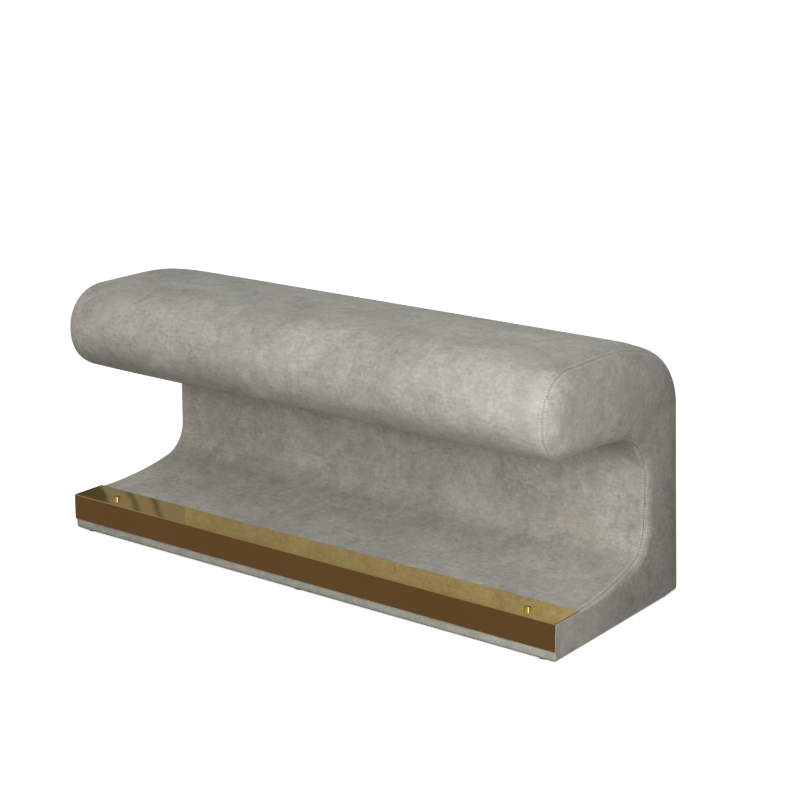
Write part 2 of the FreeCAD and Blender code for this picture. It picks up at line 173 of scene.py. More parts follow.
def foam_finish():
    """Cream foam with open cells a millimetre across."""
    material, tree, shader = start_finish("cream_foam")
    place = add(tree, "TexCoord").outputs["Object"]
    cells = add(tree, "TexVoronoi", {"Vector": place, "Scale": 900.0}).outputs["Distance"]
    cloud = noise(tree, place, 25.0)
    tone = total(tree, (cells, 0.5), (cloud, 0.5))
    paint(tree, shader, tone, (0.2, (0.52, 0.43, 0.27)), (0.7, (0.74, 0.66, 0.48)))
    shader.inputs["Roughness"].default_value = 0.95
    relief(tree, shader, cells, 0.0005)
    return material


foam_weld = 0.00001
foam_voxel = 0.005
foam_ease = 0.0012
cream_foam = foam_finish()


def foam_pad(node):
    """A pad from its CAD solid: remeshed evenly, its edges smoothed and its skin eased in."""
    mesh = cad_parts[node].data.copy()
    mesh.materials.clear()
    mesh.materials.append(cream_foam)
    pad = bpy.data.objects.new(node.replace("foam", "pad"), mesh)
    bpy.context.scene.collection.objects.link(pad)
    merged = pad.modifiers.new("merge", "WELD")
    merged.merge_threshold = foam_weld
    even = pad.modifiers.new("even", "REMESH")
    even.mode = "VOXEL"
    even.voxel_size = foam_voxel
    even.use_smooth_shade = True
    soft = pad.modifiers.new("soft", "SMOOTH")
    soft.factor = 0.5
    soft.iterations = 4
    eased = pad.modifiers.new("eased", "DISPLACE")
    eased.mid_level = 0.0
    eased.strength = -foam_ease
    depsgraph = bpy.context.evaluated_depsgraph_get()
    pad.data = bpy.data.meshes.new_from_object(pad.evaluated_get(depsgraph))
    pad.modifiers.clear()
    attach(pad, "root")
    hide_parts(node)


for foam in ("seat_foam", "nose_foam", "throat_foam", "back_foam", "end_foam_left", "end_foam_right"):
    foam_pad(foam)


# Outline of the cover
# The leather follows one C-shaped outline: base, throat, lip, top and back. It is
# written as two paths of lines and arcs from the base front to the tip of the nose.

wrap_low, wrap_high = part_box("cover_wrap")
trim_low, trim_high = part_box("brass_trim")
end_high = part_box("cover_end_right")[1]
trim_sheet = 0.0012
turn_under = 0.045
lip_thickness = 0.1397
wall_depth = 0.1077
crown_radius = 0.405
shoulder_radius = 0.101
shoulder_angle = 67.0
lip_fall = 0.6
floor_rise = 15.8
throat_top_radius = 0.083
throat_floor_radius = 0.049
base_corner = 0.006
soft_edge = 0.0425
lip_edge = 0.034
low_nose_edge = 0.032
nose_edge = 0.042
throat_edge = 0.0175
heel_edge = 0.0175
firm_edge = 0.004
rear_margin = 0.02
floor_splits = (-50.0, -26.0)
throat_splits = (28.0, 56.0)
crown_split = 76.0
nose_split = 225.0
inner_turn, lip_turn, nose_turn, outer_turn = 32.5, 25.5, 35.2, 35.8

rear, nose, top, low = wrap_high.y, wrap_low.y, wrap_high.z, wrap_low.z
half = end_high.x
front = trim_low.y + trim_sheet
shelf = trim_high.z - trim_sheet
flange_back = trim_high.y
wall = rear - wall_depth


def around(centre, radius, angle):
    """Points on a circle at angles in degrees, from +Y towards +Z."""
    turned = np.radians(angle)
    return np.stack([centre[0] + radius * np.cos(turned), centre[1] + radius * np.sin(turned)], axis=-1)


nose_radius = lip_thickness / 2
nose_centre = (nose + nose_radius, top - nose_radius)
lean = np.radians(shoulder_angle)
crown_centre = (
    rear - shoulder_radius + (shoulder_radius - crown_radius) * np.cos(lean),
    top - crown_radius,
)
shoulder_centre = (
    rear - shoulder_radius,
    crown_centre[1] + (crown_radius - shoulder_radius) * np.sin(lean),
)
fall = np.radians(lip_fall)
lip_start = around(nose_centre, nose_radius, 270.0 - lip_fall)
throat_top_y = wall - throat_top_radius
lip_run = (throat_top_y - lip_start[0] + throat_top_radius * np.sin(fall)) / np.cos(fall)
throat_top_centre = (
    throat_top_y,
    lip_start[1] - lip_run * np.sin(fall) - throat_top_radius * np.cos(fall),
)
rise = np.radians(floor_rise)
floor_radius = (wall - flange_back - throat_floor_radius * (1 - np.sin(rise))) / np.sin(rise)
floor_centre = (flange_back, shelf + floor_radius)
throat_floor_centre = (
    wall - throat_floor_radius,
    shelf + floor_radius * (1 - np.cos(rise)) + throat_floor_radius * np.cos(rise),
)


def straight(start, end, count, right=False):
    """A line in count steps; its normal lies to the left of the way it runs, or to the right."""
    share = np.linspace(0.0, 1.0, count + 1)[:, None]
    start, end = np.array(start), np.array(end)
    along = (end - start) / np.linalg.norm(end - start)
    normal = np.array([along[1], -along[0]]) if right else np.array([-along[1], along[0]])
    return start + share * (end - start), np.tile(normal, (count + 1, 1))


def bend(centre, radius, start, end, count, hollow=False):
    """An arc in count steps; its normal leaves the centre, or meets it where the body is hollow."""
    angle = np.linspace(start, end, count + 1)
    away = around((0.0, 0.0), 1.0, angle)
    return around(centre, radius, angle), -away if hollow else away


def path(runs):
    """Join runs: points, normals, edge radius, inset, forward draw, seam strength and seam angle."""
    parts = []
    for (place, normal), *edges in runs:
        share = np.linspace(0.0, 1.0, len(place))
        ramps = [start + (end - start) * share for start, end in edges]
        columns = np.column_stack([place, normal, *ramps])
        parts.append(columns[1:] if parts else columns)
    return np.concatenate(parts)


def edge(start, end, turn, seam=(1.0, 1.0), inset=None, forward=(0.0, 0.0)):
    """A rounded edge whose radius, inset and seam, in degrees round it, change evenly along a run."""
    return (start, end), inset or (start, end), forward, seam, turn


corner_front = front + base_corner
corner_rear = rear - base_corner
corner_low = low + base_corner
wall_foot, wall_head = throat_floor_centre[1], throat_top_centre[1]
rear_levels = (corner_low, wall_foot - rear_margin, wall_head + rear_margin, shoulder_centre[1])
rear_edges = np.interp(rear_levels, (corner_low, shoulder_centre[1]), (heel_edge, soft_edge))
lip_middle = (crown_centre[0], lip_start[1] - (crown_centre[0] - lip_start[0]) * np.tan(fall))
throat_lip = around(throat_top_centre, throat_top_radius, 90.0 - lip_fall)
lip_edges = (throat_edge, (throat_edge + lip_edge) / 2, lip_edge)
floor_angles = (floor_rise - 90.0, *floor_splits, 0.0)
throat_angles = (0.0, *throat_splits, 90.0 - lip_fall)
throat_turn = (inner_turn, inner_turn)
back_turn = (outer_turn, outer_turn)
unsewn = (0.0, 0.0)
seam_begins = (0.0, 1.0)
firm_inset = (firm_edge, firm_edge)
heel_draw = heel_edge - firm_edge
firm = edge(firm_edge, firm_edge, throat_turn, unsewn)
shelf_side = edge(firm_edge, firm_edge, throat_turn, seam_begins)
floor_side = edge(firm_edge, throat_edge, throat_turn)
hollow = edge(throat_edge, throat_edge, throat_turn)
low_nose = edge(lip_edge, low_nose_edge, (lip_turn, lip_turn), inset=(lip_edge, nose_edge))
nose_tip = edge(low_nose_edge, nose_edge, (lip_turn, nose_turn), inset=(nose_edge, nose_edge))
bottom = edge(firm_edge, firm_edge, (inner_turn, outer_turn), unsewn)
heel_start = edge(firm_edge, heel_edge, back_turn, unsewn, firm_inset, (0.0, heel_draw))
heel = edge(heel_edge, heel_edge, back_turn, unsewn, firm_inset, (heel_draw, heel_draw))
rear_start = edge(*rear_edges[0:2], back_turn, seam_begins)
soft = edge(soft_edge, soft_edge, back_turn)
brow = edge(soft_edge, nose_edge, back_turn)
nose_top = edge(nose_edge, nose_edge, (outer_turn, nose_turn))

# Every run of the throat side faces a run of the outside that has as many steps.
corner_steps, shelf_steps, floor_steps, turn_steps, wall_steps = 8, 14, 36, 8, 20
shoulder_steps, arch_steps, lip_steps, brow_steps, nose_steps = 12, 10, 20, 18, 28


def hollows(centre, radius, angles, *counts):
    """The runs of one hollow arc that is split at angles."""
    spans = zip(angles, angles[1:], counts)
    return [(bend(centre, radius, start, end, count, True), *hollow) for start, end, count in spans]


inner = path([
    (bend((corner_front, shelf - base_corner), base_corner, 180.0, 90.0, corner_steps), *firm),
    (straight((corner_front, shelf), (flange_back, shelf), shelf_steps), *shelf_side),
    (bend(floor_centre, floor_radius, -90.0, floor_rise - 90.0, floor_steps, True), *floor_side),
    *hollows(throat_floor_centre, throat_floor_radius, floor_angles, turn_steps, turn_steps, turn_steps),
    (straight((wall, wall_foot), (wall, wall_head), wall_steps), *hollow),
    *hollows(throat_top_centre, throat_top_radius, throat_angles, turn_steps, shoulder_steps, arch_steps),
    (straight(throat_lip, lip_middle, lip_steps), *edge(*lip_edges[0:2], throat_turn)),
    (straight(lip_middle, lip_start, brow_steps), *edge(*lip_edges[1:3], (inner_turn, lip_turn))),
    (bend(nose_centre, nose_radius, 270.0 - lip_fall, nose_split, nose_steps // 2), *low_nose),
    (bend(nose_centre, nose_radius, nose_split, 180.0, nose_steps // 2), *nose_tip),
])
outer = path([
    (bend((corner_front, corner_low), base_corner, 180.0, 270.0, corner_steps), *firm),
    (straight((corner_front, low), (front + turn_under, low), shelf_steps, True), *firm),
    (straight((front + turn_under, low), (rear - turn_under, low), floor_steps, True), *bottom),
    (straight((rear - turn_under, low), (corner_rear, low), turn_steps, True), *heel_start),
    (bend((corner_rear, corner_low), base_corner, -90.0, 0.0, turn_steps), *heel),
    (straight((rear, corner_low), (rear, rear_levels[1]), turn_steps, True), *rear_start),
    (straight((rear, rear_levels[1]), (rear, rear_levels[2]), wall_steps, True),
     *edge(*rear_edges[1:3], back_turn)),
    (straight((rear, rear_levels[2]), (rear, rear_levels[3]), turn_steps, True),
     *edge(*rear_edges[2:4], back_turn)),
    (bend(shoulder_centre, shoulder_radius, 0.0, shoulder_angle, shoulder_steps), *soft),
    (bend(crown_centre, crown_radius, shoulder_angle, crown_split, arch_steps), *soft),
    (bend(crown_centre, crown_radius, crown_split, 90.0, lip_steps), *soft),
    (straight((crown_centre[0], top), (nose_centre[0], top), brow_steps, True), *brow),
    (bend(nose_centre, nose_radius, 90.0, 180.0, nose_steps), *nose_top),
])
stations = len(inner) - 1
across = 14
rise_run = straight(outer[0, :2], inner[0, :2], across)
front_path = path([(rise_run, *firm)])
ring = np.concatenate([front_path[:-1], inner, outer[-2:0:-1]])
ring_count = len(ring)
ring_radius, ring_inset, ring_forward, ring_seam, ring_turn = ring[:, 4:].T
ring_turn = np.radians(ring_turn)


def skin(pick, distance, side):
    """Places and normals on the leather at signed distances from the seam, for picked stations.

    The soft edge is a quarter of a circle, and the seam lies at a station's own angle on it: the angle
    of a place is the seam's angle plus distance over radius. Past the quarter circle the skin runs
    on straight, along the long panel for negative distances and over the end face for positive ones.
    """
    point, normal = ring[pick, None, 0:2], ring[pick, None, 2:4]
    edges = (ring_radius, ring_inset, ring_forward, ring_turn)
    radius, inset, forward, seam_angle = (column[pick, None] for column in edges)
    angle = np.clip(seam_angle + distance / radius, 0.0, np.pi / 2)
    over = np.abs(distance) - np.abs(angle - seam_angle) * radius
    x = half - radius * (1 - np.sin(angle)) - np.where(distance < 0, over, 0.0)
    bow = 1 - np.cos(angle)
    drawn = inset * bow + np.where(distance > 0, over, 0.0)
    outline = point - normal * drawn[..., None]
    outline[..., 0] -= forward * bow
    places = np.concatenate([side * x[..., None], outline], axis=-1)
    facing = np.concatenate([side * np.sin(angle)[..., None], normal * np.cos(angle)[..., None]], axis=-1)
    return places, facing


# Long leather panel
# One hide of brushed grey leather that runs from under the base front, through the
# throat, round the nose, over the top and down the back, stapled under the base.

leather_thickness = 0.0013
stitch_offset = 0.0033
seam_gap = 0.00006
seam_depth = 0.0004
stitch_dent = 0.0003
seam_ridge = 0.0002
groove_width = 0.0007
ridge_place = 0.0018
ridge_width = 0.0008
panel_reach = 0.036
near_columns = 17
far_columns = 9
near_share = 0.6
middle_columns = 40
coarse_step = 3
coarse_sides = 4
sewn_softness = 0.3
drawn_in = 0.0006
swell_limit = 0.0018


def seam_shape(distance):
    """Height of the leather beside a seam: a groove, a low ridge and a dent under the stitches."""
    groove = -seam_depth * np.exp(-((distance / groove_width) ** 2))
    ridge = seam_ridge * np.exp(-(((distance - ridge_place) / ridge_width) ** 2))
    dent = -stitch_dent * np.exp(-(((distance - stitch_offset) / ridge_width) ** 2))
    return groove + ridge + dent


def columns(reach):
    """Distances from the seam for each station: even across the stitches, then wider and wider."""
    near = np.minimum(2 * stitch_offset, near_share * reach)[:, None]
    close = near * np.linspace(0.0, 1.0, near_columns)
    close[:, 0] = seam_gap
    far = near * (reach[:, None] / near) ** np.linspace(0.0, 1.0, far_columns)[1:]
    return np.concatenate([close, far], axis=1), near


def ease(share):
    """A smooth step from 0 to 1."""
    share = np.clip(share, 0.0, 1.0)
    return share * share * (3 - 2 * share)


def grid_faces(index):
    """Quads of a grid of vertex numbers."""
    corners = (index[:-1, :-1], index[:-1, 1:], index[1:, 1:], index[1:, :-1])
    return np.stack(corners, axis=-1).reshape(-1, 4)


def numbered(shape):
    """Vertex numbers of a grid, row by row."""
    return np.arange(shape[0] * shape[1]).reshape(shape[:2])


def cloth_swell(places, facing, faces, pinned, frames=20):
    """Swelling of a panel that is sewn down where pinned: cloth under pressure, as heights along facing."""
    mesh = bpy.data.meshes.new("swelling")
    mesh.from_pydata(places.tolist(), [], faces)
    panel = bpy.data.objects.new("swelling", mesh)
    bpy.context.scene.collection.objects.link(panel)
    group = panel.vertex_groups.new(name="sewn")
    group.add(np.flatnonzero(pinned).tolist(), 1.0, "REPLACE")
    cloth = panel.modifiers.new("cloth", "CLOTH")
    settings = cloth.settings
    settings.quality = 5
    settings.mass = 0.3
    settings.tension_stiffness = settings.compression_stiffness = 40.0
    settings.shear_stiffness = 20.0
    settings.bending_stiffness = 2.0
    settings.vertex_group_mass = "sewn"
    settings.use_pressure = True
    settings.uniform_pressure_force = 4.0
    settings.effector_weights.gravity = 0.0
    cloth.point_cache.frame_start = 1
    cloth.point_cache.frame_end = frames
    scene = bpy.context.scene
    for step in range(1, frames + 1):
        scene.frame_set(step)
    swollen = panel.evaluated_get(bpy.context.evaluated_depsgraph_get()).to_mesh()
    moved = np.empty(places.size)
    swollen.vertices.foreach_get("co", moved)
    heights = ((moved.reshape(-1, 3) - places) * facing).sum(axis=1)
    scene.frame_set(1)
    bpy.data.objects.remove(panel)
    bpy.data.meshes.remove(mesh)
    return heights


def held_back(heights, limit):
    """Heights that level off smoothly at a limit, where the foam holds the leather."""
    return limit * np.tanh(np.maximum(heights, 0.0) / limit)


bottom_first = corner_steps + shelf_steps
bottom_last = bottom_first + floor_steps
wrap_pick = np.concatenate([
    np.arange(ring_count - bottom_first, ring_count),
    np.arange(0, ring_count - bottom_last + 1),
])


def wrap_grid(pick, distances, middle):
    """The long panel from seam to seam: two soft edges and the straight stretch between them."""
    right, right_facing = skin(pick, -distances, 1)
    left, left_facing = skin(pick, -distances, -1)
    share = np.linspace(0.0, 1.0, middle + 2)[None, 1:-1, None]
    flat = left[:, -1:] * (1 - share) + right[:, -1:] * share
    flat_facing = np.repeat(left_facing[:, -1:] * [0, 1, 1], middle, axis=1)
    places = np.concatenate([left, flat, right[:, ::-1]], axis=1)
    facing = np.concatenate([left_facing, flat_facing, right_facing[:, ::-1]], axis=1)
    return places, facing


def spread(values, old_rows, new_rows, old_columns, new_columns):
    """Values on a coarse grid, interpolated to a finer grid of the same panel."""
    tall = np.stack([np.interp(new_rows, old_rows, column) for column in values.T], axis=1)
    return np.stack([np.interp(new_columns, old_columns, row) for row in tall], axis=0)


def travel(places):
    """Distance travelled along a run of places."""
    steps = np.linalg.norm(np.diff(places, axis=0), axis=-1)
    return np.concatenate([[0.0], np.cumsum(steps)])


ring_softness = ease((ring_radius - firm_edge) / (throat_edge - firm_edge))
wrap_columns = columns(np.full(len(wrap_pick), panel_reach))[0]
wrap_places, wrap_facing = wrap_grid(wrap_pick, wrap_columns, middle_columns)
wrap_width = travel(wrap_places[len(wrap_pick) // 2])
wrap_length = travel(wrap_places[:, wrap_places.shape[1] // 2])
wrap_swell = np.zeros(wrap_places.shape[:2])
coarse_rows = np.arange(0, len(wrap_pick), coarse_step)
coarse_side = np.maximum(np.linspace(0.0, panel_reach, coarse_sides), seam_gap)
coarse_side = np.tile(coarse_side, (len(coarse_rows), 1))
coarse_places, coarse_facing = wrap_grid(wrap_pick[coarse_rows], coarse_side, middle_columns)
sewn = np.zeros(coarse_places.shape[:2], bool)
sewn[:, [0, -1]] = True
sewn[ring_softness[wrap_pick[coarse_rows]] < sewn_softness] = True
coarse_faces = grid_faces(numbered(sewn.shape)).tolist()
heights = cloth_swell(coarse_places.reshape(-1, 3), coarse_facing.reshape(-1, 3),
                      coarse_faces, sewn.ravel())
coarse_width = travel(coarse_places[len(coarse_rows) // 2])
wrap_swell = spread(heights.reshape(sewn.shape), coarse_rows, np.arange(len(wrap_pick)),
                    coarse_width, wrap_width)
edge_distance = np.minimum(wrap_width, wrap_width[-1] - wrap_width)[None, :] + seam_gap
wrap_height = seam_shape(edge_distance) * ring_seam[wrap_pick, None]
wrap_height += (held_back(wrap_swell, swell_limit) - drawn_in) * ring_softness[wrap_pick, None]
wrap_places = wrap_places + wrap_facing * wrap_height[..., None]


def mixed(tree, factor, first, second, **settings):
    """Two colours mixed by a factor."""
    inputs = {"Factor": factor, 6: first, 7: second}
    return add(tree, "Mix", inputs, data_type="RGBA", **settings).outputs[2]


def leather_finish():
    """Brushed nubuck: cloudy tones, a fine nap that runs along the panel and a cross hatch.

    The panel's own map holds metres along the nap and metres across it.
    """
    material, tree, shader = start_finish("brushed_grey_leather")
    place = add(tree, "UVMap", uv_map="nap").outputs["UV"]
    clouds = noise(tree, place, 9.0, detail=4.0, roughness=0.6, distortion=0.6)
    blotches = noise(tree, place, 40.0, detail=5.0, roughness=0.65, distortion=0.4)
    flecks = noise(tree, place, 150.0, detail=4.0, roughness=0.7)
    nap = noise(tree, stretch(tree, place, (60.0, 330.0, 1.0)), 1.0, detail=3.0)
    hatch = noise(tree, stretch(tree, place, (330.0, 60.0, 1.0)), 1.0, detail=2.0)
    grain = noise(tree, place, 1600.0, detail=2.0)
    tone = total(tree, (clouds, 0.24), (blotches, 0.26), (flecks, 0.22), (nap, 0.16), (hatch, 0.12))
    colour = shades(tree, tone, (0.40, (0.202, 0.198, 0.177)), (0.5, (0.293, 0.288, 0.264)),
                    (0.60, (0.384, 0.380, 0.358)))
    for seed, tint in ((0.0, (0.305, 0.265, 0.228, 1.0)), (5.0, (0.246, 0.266, 0.262, 1.0))):
        moved = add(tree, "Mapping", {"Vector": place, "Location": (seed, seed, 0.0)}).outputs["Vector"]
        patches = noise(tree, moved, 15.0, detail=4.0, distortion=0.4)
        colour = mixed(tree, ranged(tree, patches, 0.0, 0.45, 0.5, 0.75), colour, tint)
    tree.links.new(colour, shader.inputs["Base Color"])
    tree.links.new(ranged(tree, tone, 0.7, 0.95), shader.inputs["Roughness"])
    shader.inputs["Specular IOR Level"].default_value = 0.25
    shader.inputs["Sheen Weight"].default_value = 0.12
    shader.inputs["Sheen Roughness"].default_value = 0.5
    height = total(tree, (nap, 0.45), (hatch, 0.2), (grain, 0.35))
    relief(tree, shader, height, 0.0004)
    return material


grey_leather = leather_finish()


def panel(name, places, faces, nap, node, rests_on, flat, area=None):
    """A leather panel: its skin, its map of the nap, its thickness and what it replaces."""
    mesh = bpy.data.meshes.new(name)
    mesh.from_pydata(places.tolist(), [], faces)
    mesh.polygons.foreach_set("use_smooth", np.ones(len(mesh.polygons), bool))
    corners = np.empty(len(mesh.loops), int)
    mesh.loops.foreach_get("vertex_index", corners)
    mesh.uv_layers.new(name="nap").data.foreach_set("uv", nap[corners].ravel())
    mesh.materials.append(grey_leather)
    piece = bpy.data.objects.new(name, mesh)
    bpy.context.scene.collection.objects.link(piece)
    thickness = piece.modifiers.new("thickness", "SOLIDIFY")
    thickness.thickness = leather_thickness
    thickness.offset = -1.0
    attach(piece, "root")
    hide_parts(node)


wrap_nap = np.stack(np.broadcast_arrays(wrap_places[..., 0], wrap_length[:, None]), axis=-1)
panel(
    "leather_long_panel",
    wrap_places.reshape(-1, 3),
    grid_faces(numbered(wrap_places.shape)).tolist(),
    wrap_nap.reshape(-1, 2),
    "cover_wrap",
    ["seat_pad", "nose_pad", "throat_pad", "back_pad", "base_board", "base_front_rail"],
    (float(wrap_width[-1]), float(wrap_length[-1])),
)


# Leather end panels
# Two C-shaped panels of the same hide, sewn to the long panel along the soft edge and
# turned under the base. The foam behind them swells, so each face is a little crowned.

end_limit = 0.0045
end_area = 0.102
face_share = 0.2
under_columns = 9
end_reach = ring_radius * (np.pi / 2 - ring_turn) + ring_inset * face_share
under_pick = np.arange(ring_count - bottom_last, ring_count - bottom_first + 1)


def end_grid(pick, distances, side, skip):
    """An end panel: a band round the outline, and a face of chords between throat and outside.

    Returns places, normals, and the vertex numbers of the band, of the face and of its tip.
    """
    band, band_facing = skin(pick, distances, side)
    band_index = numbered(band.shape)
    rim_index, rim = band_index[:, -1], band[:, -1]
    sides, chords = stations // skip, across // skip
    inside = np.arange(chords, chords + sides + 1)
    outside = np.concatenate([[0], np.arange(len(pick) - 1, chords + sides - 1, -1)])
    share = np.linspace(0.0, 1.0, chords + 1)[None, 1:-1, None]
    chord = rim[outside[1:-1], None] * (1 - share) + rim[inside[1:-1], None] * share
    face_index = np.empty((sides, chords + 1), int)
    face_index[0] = rim_index[:chords + 1]
    face_index[1:, 0] = rim_index[outside[1:-1]]
    face_index[1:, -1] = rim_index[inside[1:-1]]
    face_index[1:, 1:-1] = band_index.size + numbered(chord.shape)
    chord_facing = np.tile([float(side), 0.0, 0.0], (*chord.shape[:2], 1))
    places = np.concatenate([band.reshape(-1, 3), chord.reshape(-1, 3)])
    facing = np.concatenate([band_facing.reshape(-1, 3), chord_facing.reshape(-1, 3)])
    return places, facing, band_index, face_index, rim_index[inside[-1]]


def end_faces(band_index, face_index, tip, side):
    """Quads of the band and of the face, and a fan of triangles at the tip of the nose."""
    closed = np.concatenate([band_index, band_index[:1]])
    quads = np.concatenate([grid_faces(closed), grid_faces(face_index)[:, ::-1]])
    last = face_index[-1]
    fan = np.stack([last[1:], last[:-1], np.full(len(last) - 1, tip)], axis=-1)
    turn = slice(None, None, side)
    return quads[:, turn].tolist() + fan[:, turn].tolist()


def end_swell():
    """Swelling of an end panel, from cloth on every second station and chord."""
    pick = np.arange(0, ring_count, 2)
    shares = np.array([0.0, 0.2, 0.4, 0.6, 0.8, 1.0])
    distances = np.maximum(end_reach[pick, None] * shares, seam_gap)
    places, facing, band_index, face_index, tip = end_grid(pick, distances, 1, 2)
    sewn = np.zeros(len(places), bool)
    sewn[band_index[:, 0]] = True
    sewn[band_index[ring_softness[pick] < sewn_softness]] = True
    heights = cloth_swell(places, facing, end_faces(band_index, face_index, tip, 1), sewn)
    band = heights[np.concatenate([band_index, band_index[:1]])]
    rows = np.append(pick, ring_count)
    tall = np.stack([np.interp(np.arange(ring_count), rows, column) for column in band.T], axis=1)
    fine = [np.interp(near / reach, shares, row) for near, reach, row in zip(end_columns, end_reach, tall)]
    coarse = np.concatenate([heights[face_index], np.full((1, face_index.shape[1]), heights[tip])])
    face = spread(coarse, np.arange(0, stations + 1, 2), np.arange(stations),
                  np.arange(0, across + 1, 2), np.arange(across + 1))
    return np.array(fine), face


end_columns, end_near = columns(end_reach)
band_swell = np.zeros(end_columns.shape)
face_swell = np.zeros((stations, across + 1))
band_swell, face_swell = end_swell()
chord_share = np.linspace(0.0, 1.0, across + 1)
chord_starts = np.append(0, np.arange(ring_count - 1, ring_count - stations, -1))
face_softness = chord_share * ring_softness[across:across + stations, None]
face_softness += (1 - chord_share) * ring_softness[chord_starts, None]
end_seam = seam_shape(end_columns * 2 * stitch_offset / end_near) * ring_seam[:, None]
under_way = np.tile(np.linspace(0.0, turn_under, under_columns), (len(under_pick), 1))
seam_lines = {}
for side, word in ((-1, "left"), (1, "right")):
    places, facing, band_index, face_index, tip = end_grid(np.arange(ring_count), end_columns, side, 1)
    softness = np.empty(len(places))
    softness[face_index] = face_softness
    softness[band_index] = ring_softness[:, None]
    heights = np.empty(len(places))
    heights[face_index] = face_swell
    heights[band_index] = band_swell
    heights = (held_back(heights, end_limit) - drawn_in) * softness
    heights[band_index] += end_seam
    places = places + facing * heights[:, None]
    faces = end_faces(band_index, face_index, tip, side)
    under_places = skin(under_pick, -under_way, side)[0]
    under_index = len(places) + numbered((len(under_pick), under_columns)) - 1
    under_index -= np.arange(len(under_pick))[:, None]
    under_index[:, 0] = band_index[under_pick, 0]
    faces += grid_faces(under_index)[:, ::-side].tolist()
    places = np.concatenate([places, under_places[:, 1:].reshape(-1, 3)])
    nap = places[:, [2, 1]]
    nap[under_index[:, 1:].ravel(), 0] = -under_way[:, 1:].ravel()
    seam_lines[word] = (places[band_index], facing[band_index])
    panel(
        "leather_end_panel_" + word,
        places,
        faces,
        nap,
        "cover_end_" + word,
        ["end_pad_" + word, "base_board", "base_front_rail"],
        (float(top - low + 2 * turn_under), float(rear - nose)),
        end_area,
    )


# Topstitching
# Two rows of pale thread beside each end seam, from the back of the brass trim round
# the throat, the nose and the top, and down the back to the base.

stitch_pitch = 0.0045
stitch_length = 0.0030
thread_radius = 0.00042
thread_lift = 0.00025
thread_sink = 0.0007
thread_blunt = 1.02
thread_rings, thread_sides = 5, 6
stitch_column = near_columns // 2
stitch_first = across + corner_steps + shelf_steps
stitch_last = ring_count - bottom_last - 2 * turn_steps - turn_steps // 2


def thread_finish():
    """Pale spun thread, with a twist that runs along it in fine stripes."""
    material, tree, shader = start_finish("pale_thread")
    place = add(tree, "TexCoord").outputs["Object"]
    twist = noise(tree, place, 2600.0, detail=1.0)
    paint(tree, shader, twist, (0.3, (0.40, 0.39, 0.36)), (0.7, (0.60, 0.58, 0.54)))
    shader.inputs["Roughness"].default_value = 0.75
    return material


def stitches(places, facing):
    """Stitches along a row: a round thread whose height falls off as the square of the way along it.

    Its radius shrinks to blunt ends, as the fourth root of what the square leaves.
    """
    way = travel(places)
    count = int((way[-1] - stitch_pitch) / stitch_pitch)
    middle = stitch_pitch * (np.arange(count) + 1.0)
    centre = np.stack([np.interp(middle, way, part) for part in places.T], axis=-1)
    ahead = np.stack([np.interp(middle + stitch_length / 2, way, part) for part in places.T], axis=-1)
    up = np.stack([np.interp(middle, way, part) for part in facing.T], axis=-1)
    along = (ahead - centre) / np.linalg.norm(ahead - centre, axis=1, keepdims=True)
    side = np.cross(up, along)
    share = np.linspace(-1.0, 1.0, thread_rings)[None, :, None, None]
    turned = np.linspace(0.0, 2 * np.pi, thread_sides, endpoint=False)[None, None, :, None]
    rings = np.sqrt(thread_blunt - share ** 2) ** 0.5 * thread_radius
    height = thread_lift - (thread_lift + thread_sink) * share ** 2
    spot = [part[:, None, None, :] for part in (centre, along, up, side)]
    points = spot[0] + spot[1] * share * stitch_length / 2
    points = points + spot[2] * (height + rings * np.cos(turned)) + spot[3] * rings * np.sin(turned)
    index = np.arange(count * thread_rings * thread_sides).reshape(count, thread_rings, thread_sides)
    wrapped = np.concatenate([index, index[:, :, :1]], axis=2)
    here, ahead_of = wrapped[:, :-1], wrapped[:, 1:]
    quads = np.stack([here[..., :-1], ahead_of[..., :-1], ahead_of[..., 1:], here[..., 1:]], axis=-1)
    ends = [index[:, 0], index[:, -1, ::-1]]
    return points.reshape(-1, 3), quads.reshape(-1, 4), np.concatenate(ends)


pale_thread = thread_finish()
for side, word in ((-1, "left"), (1, "right")):
    end_row = [part[stitch_first:stitch_last, stitch_column] for part in seam_lines[word]]
    column = stitch_column if side < 0 else -1 - stitch_column
    shown = slice(bottom_first + stitch_first, bottom_first + stitch_last)
    wrap_row = [wrap_places[shown, column], wrap_facing[shown, column]]
    points, faces, start = [], [], 0
    for row in (end_row, wrap_row):
        row_points, quads, ends = stitches(*row)
        points.append(row_points)
        faces += (quads + start).tolist() + (ends + start).tolist()
        start += len(row_points)
    mesh = bpy.data.meshes.new("topstitch_" + word)
    mesh.from_pydata(np.concatenate(points).tolist(), [], faces)
    mesh.polygons.foreach_set("use_smooth", np.ones(len(mesh.polygons), bool))
    mesh.materials.append(pale_thread)
    thread = bpy.data.objects.new("topstitch_" + word, mesh)
    bpy.context.scene.collection.objects.link(thread)
    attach(thread, "root")


# Brass trim
# A strip of polished brass sheet, bent to an L over the front of the base and held
# down by two cheese-head screws near its ends.

satin_depth = 0.0004


